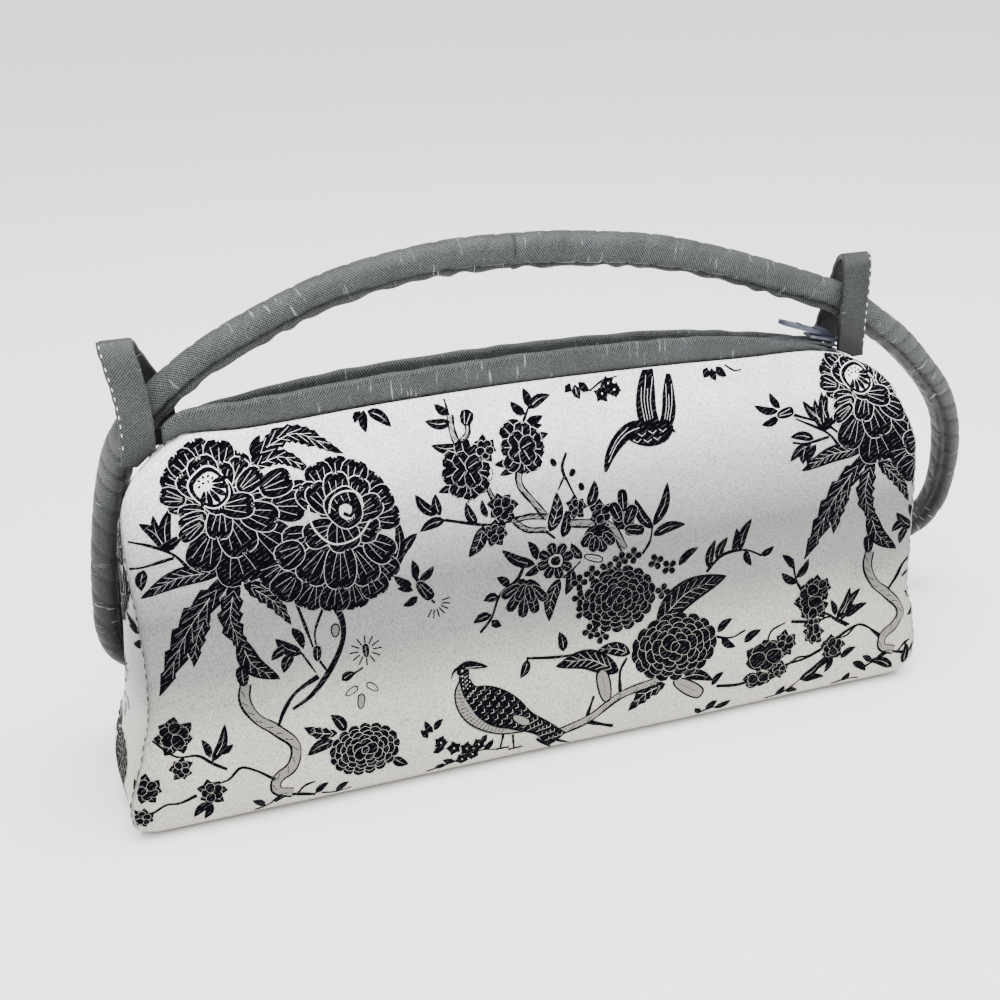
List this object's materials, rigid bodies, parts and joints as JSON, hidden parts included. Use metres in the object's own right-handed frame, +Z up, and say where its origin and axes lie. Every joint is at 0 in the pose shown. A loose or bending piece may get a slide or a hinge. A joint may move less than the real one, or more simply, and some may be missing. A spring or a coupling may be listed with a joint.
{
  "type": "chinese embroidered purse",
  "caption": "Small zipped brocade purse with silver ground and dark birds and flowers, and a padded grey silk ring handle threaded through two loops of tape.",
  "frame": {"origin": "centre of the base, on the surface it stands on", "axes": "+X along the purse towards the end where the zip's slider stands, -Y out of the front face, +Z up"},
  "size_m": [0.3538, 0.0783, 0.1805],
  "materials": {
    "brocade": "satin",
    "grey_silk": "satin",
    "zip_tape": "matte",
    "zip_metal": "satin"
  },
  "bodies": {
    "bag": {"body_brocade": "brocade", "gusset_left": "brocade", "gusset_right": "brocade", "binding_front": "grey_silk", "binding_back": "grey_silk", "zip_tape_front": "zip_tape", "zip_tape_back": "zip_tape", "zip_coil": "zip_tape", "zip_slider": "zip_metal", "handle": "grey_silk", "tab_left": "grey_silk", "tab_right": "grey_silk"},
    "pull": {"zip_pull": "zip_metal"}
  },
  "joints": [
    {"name": "pull_swing", "type": "hinge", "parent": "bag", "child": "pull", "pos_m": [0.1154, 0, 0.13328], "axis": [0, 1, 0], "range_deg": [-5, 16]}
  ]
}
